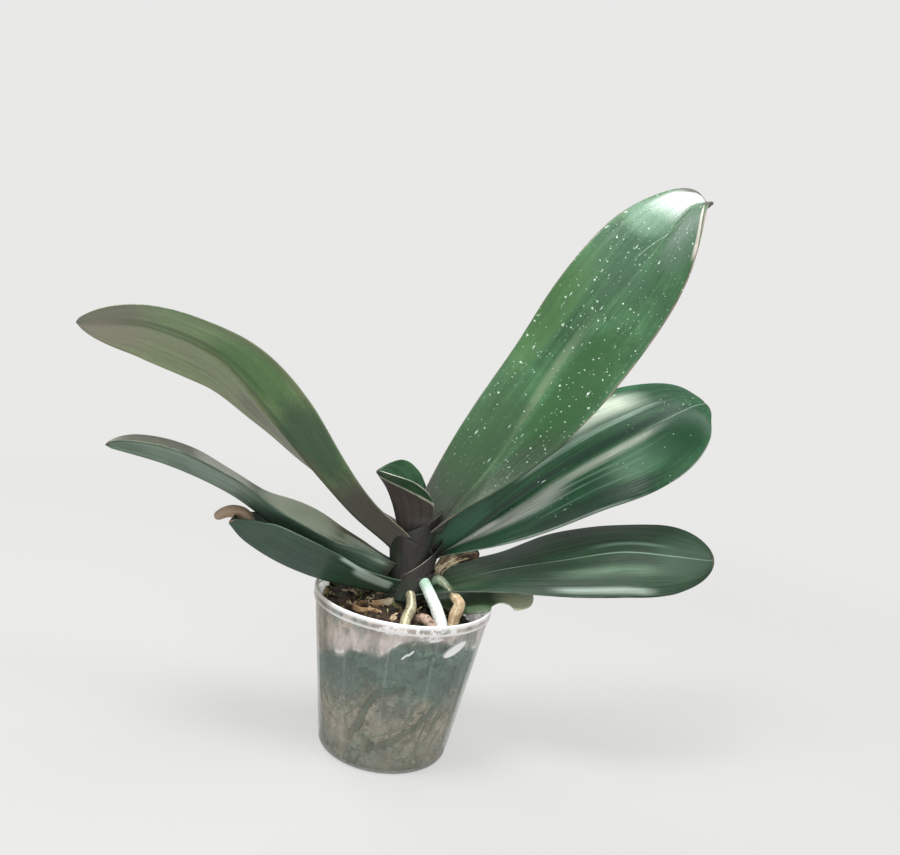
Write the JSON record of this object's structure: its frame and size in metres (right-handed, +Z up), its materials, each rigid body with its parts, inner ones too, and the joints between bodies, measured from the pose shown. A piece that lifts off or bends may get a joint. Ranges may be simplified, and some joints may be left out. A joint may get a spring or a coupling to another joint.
{
  "type": "potted moth orchid",
  "caption": "Moth orchid without flowers: long arching leaves round a short stem, with thick roots in a tapered clear pot of bark.",
  "frame": {"origin": "middle of the pot's underside", "axes": "+Z up along the pot's axis, +X to the right in the picture, +Y away from the viewer"},
  "size_m": [0.4218, 0.1663, 0.4042],
  "materials": {
    "clear_plastic": "clear, slightly hazy, glossy",
    "bark": "rough damp bark chips",
    "root_in_bark": "dull, grey-green",
    "stem": "satin, dark purple-brown leaf bases",
    "leaf": "leathery, waxy sheen",
    "young_leaf": "leathery, purple-brown outside, green inside",
    "root_pale": "matt, silvery white",
    "root_tan": "matt, olive tan",
    "root_dry": "dry and wrinkled",
    "husk": "dry papery sheath"
  },
  "bodies": {
    "root": {"pot": "clear_plastic", "bark_mix": "bark", "inner_roots": "root_in_bark", "stem": "stem", "leaf_right_top": "leaf", "leaf_right_middle": "leaf", "leaf_right_low": "leaf", "leaf_right_torn": "leaf", "leaf_left_top": "leaf", "leaf_left_middle": "leaf", "leaf_left_low": "leaf", "leaf_young": "young_leaf", "root_tan_front": "root_tan", "root_white": "root_pale", "root_tan_arched": "root_tan", "root_stub": "root_tan", "root_dry": "root_dry", "spike_husk": "husk"}
  },
  "joints": []
}
